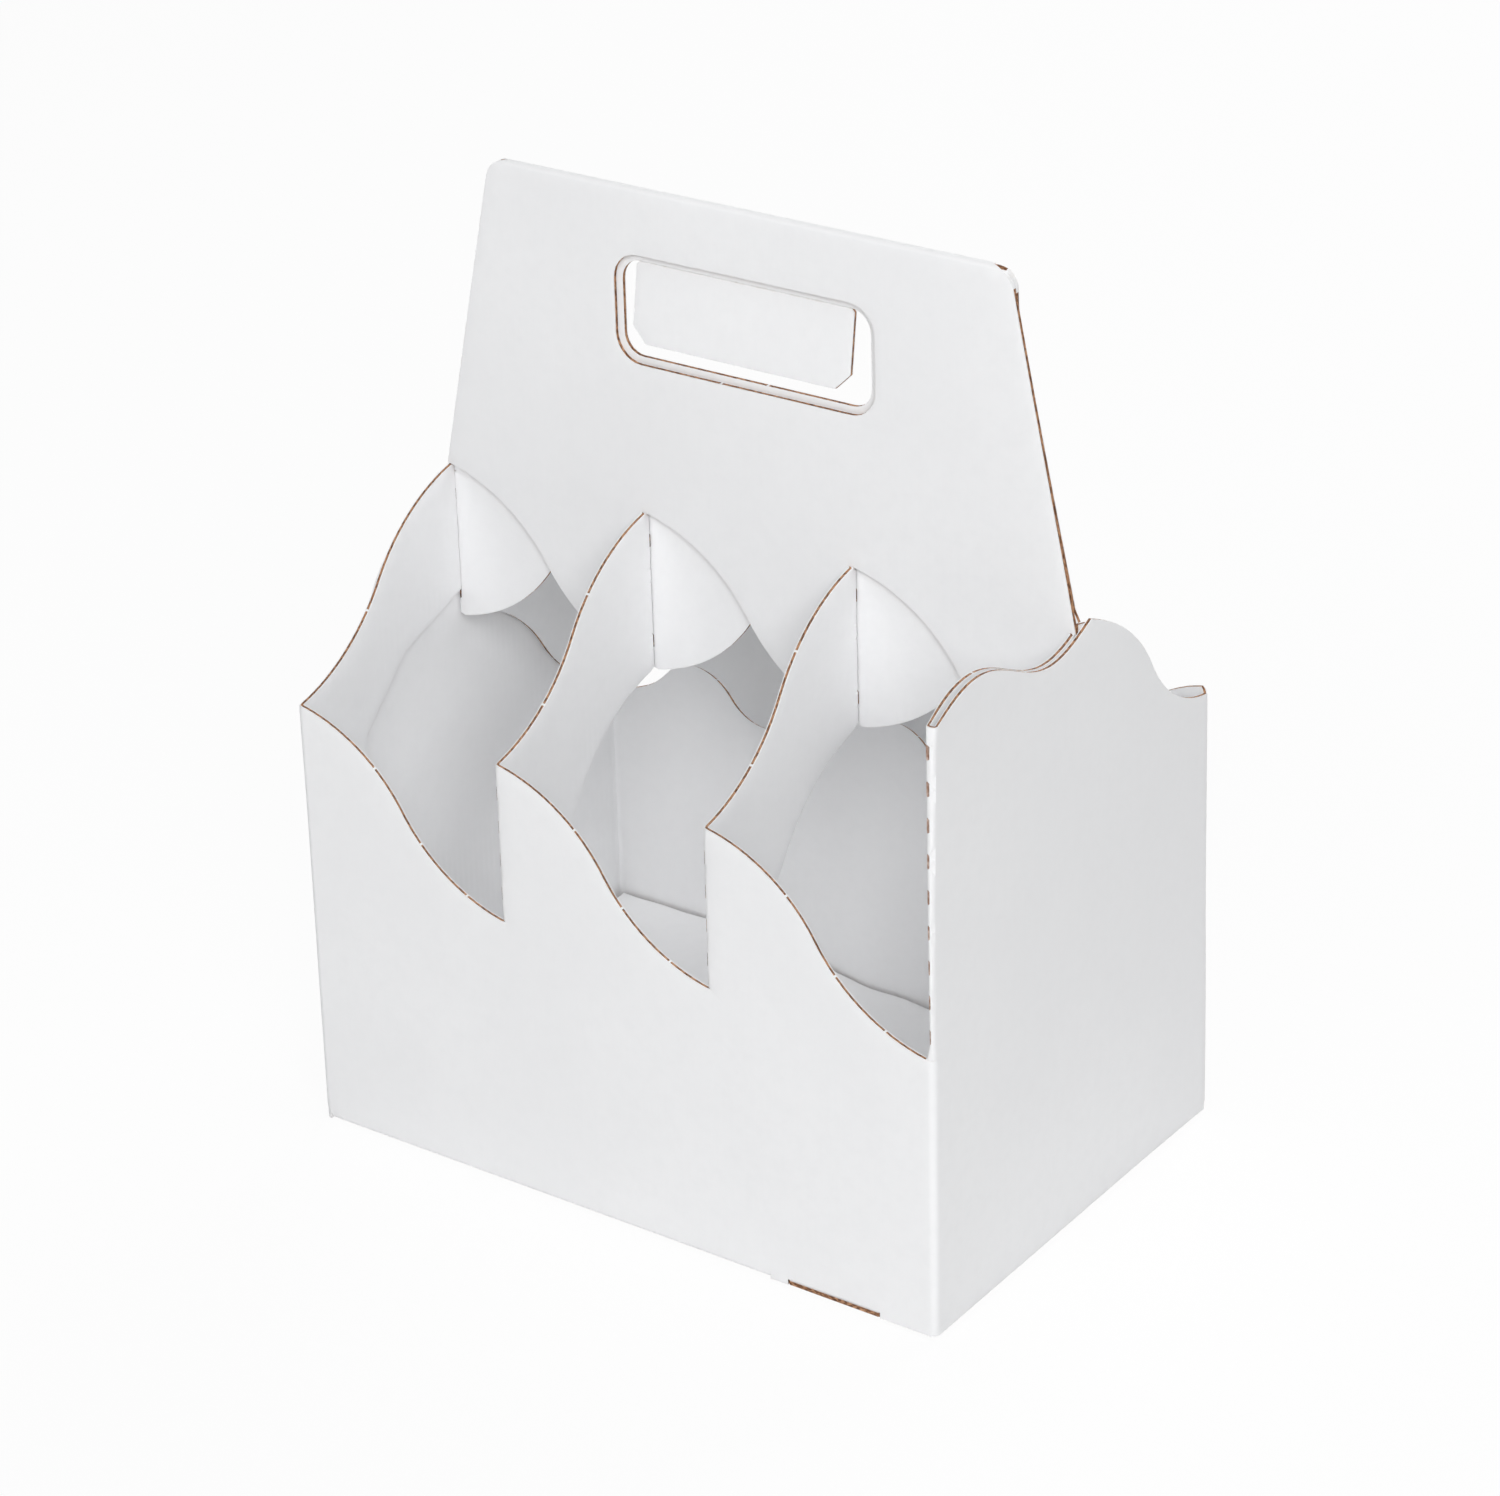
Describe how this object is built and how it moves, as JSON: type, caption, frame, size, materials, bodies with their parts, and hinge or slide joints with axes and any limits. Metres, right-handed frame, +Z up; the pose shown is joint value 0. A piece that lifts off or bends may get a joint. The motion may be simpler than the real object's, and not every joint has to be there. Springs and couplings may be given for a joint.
{
  "type": "folding cardboard bottle carrier",
  "caption": "White folding-board bottle carrier: an open basket divided into cells, with scooped walls, a tall central handle and a hand hole whose flap swings.",
  "frame": {"origin": "on the ground, under the middle of the carrier", "axes": "+Z up along the handle, +X along the handle's fold towards the carrier's right end, -Y towards the front wall that has the lock slot in its foot"},
  "size_m": [0.212, 0.143, 0.2695],
  "materials": {
    "white_board": "matt white-lined micro-flute board",
    "white_board_flap": "matt white-lined micro-flute board"
  },
  "bodies": {
    "carton_body": {"carton": "white_board"},
    "hand_flap_body": {"hand_flap": "white_board_flap"}
  },
  "joints": [
    {"name": "hand_flap_hinge", "type": "hinge", "parent": "carton_body", "child": "hand_flap_body", "pos_m": [0, 0.0015, 0.24865], "axis": [1, 0, 0], "range_deg": [-2, 165]}
  ]
}
